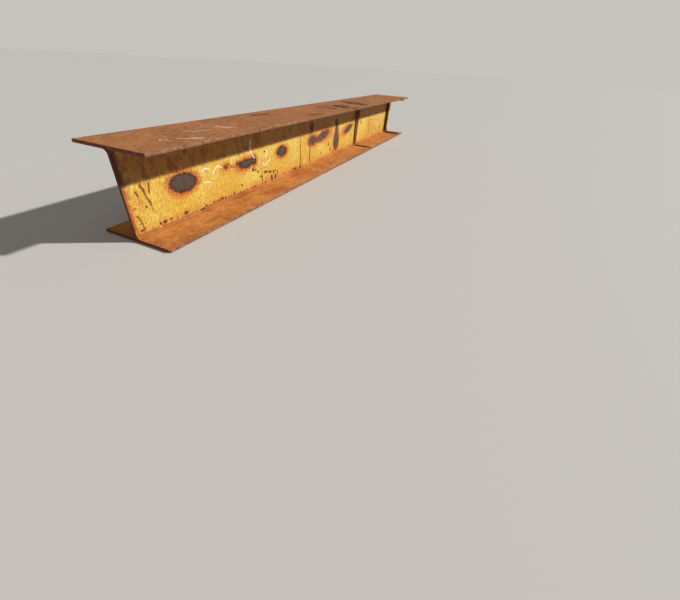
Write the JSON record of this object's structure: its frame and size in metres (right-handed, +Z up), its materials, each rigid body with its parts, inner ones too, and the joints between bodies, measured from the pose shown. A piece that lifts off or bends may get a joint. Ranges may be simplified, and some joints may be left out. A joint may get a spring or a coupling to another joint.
{
  "type": "steel girder",
  "caption": "Used wide-flange steel girder standing on its flange, yellow paint on the web, rust on the flanges, stiffener remains on one side.",
  "frame": {"origin": "under the middle of the girder, at the underside of the lower flange", "axes": "+Z up through the web, +Y along the girder towards the end with the closer stiffener remains, +X to the side that has the stiffener remains"},
  "size_m": [0.306, 2.8, 0.299],
  "materials": {
    "painted_steel": "worn yellow paint on the web, matte brown-orange rust on the flanges",
    "stiffener_steel": "torch-cut plate edges, dark scale and rust"
  },
  "bodies": {
    "root": {"girder": "painted_steel", "stiffener_stub_middle": "stiffener_steel", "stiffener_stub_end": "stiffener_steel"}
  },
  "joints": []
}
